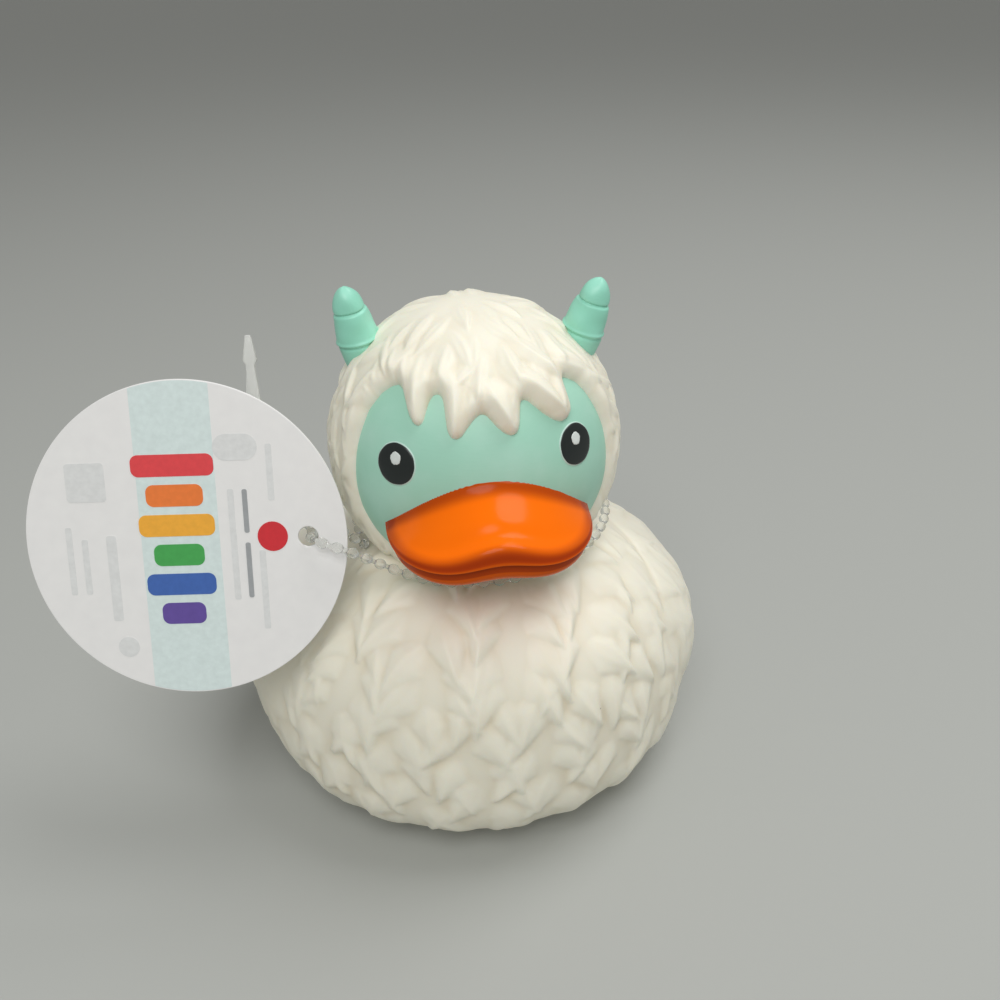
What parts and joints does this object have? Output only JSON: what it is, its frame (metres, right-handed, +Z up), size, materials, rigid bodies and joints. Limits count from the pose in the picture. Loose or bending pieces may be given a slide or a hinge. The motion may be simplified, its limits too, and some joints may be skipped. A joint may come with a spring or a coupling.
{
  "type": "rubber duck",
  "caption": "Hollow moulded bath duck with a shaggy coat, a bare face, a broad bill and two small horns, with a round card tag on a beaded plastic loop.",
  "frame": {"origin": "middle of the flat base, on the surface that the duck stands on", "axes": "+Z up, the bill points along -Y, +X is towards the duck's own left side; the tag hangs out on the -X side"},
  "size_m": [0.1158, 0.0955, 0.0952],
  "materials": {
    "ivory_vinyl": "soft satin, as moulded",
    "mint_paint": "satin spray paint",
    "orange_paint": "gloss spray paint",
    "black_paint": "printed, semi-gloss",
    "white_paint": "printed, semi-gloss",
    "white_card": "coated card with printed colour fields",
    "clear_nylon": "translucent, moulded"
  },
  "bodies": {
    "root": {"duck": "ivory_vinyl", "swing_tag": "white_card", "tag_tie": "clear_nylon"}
  },
  "joints": []
}
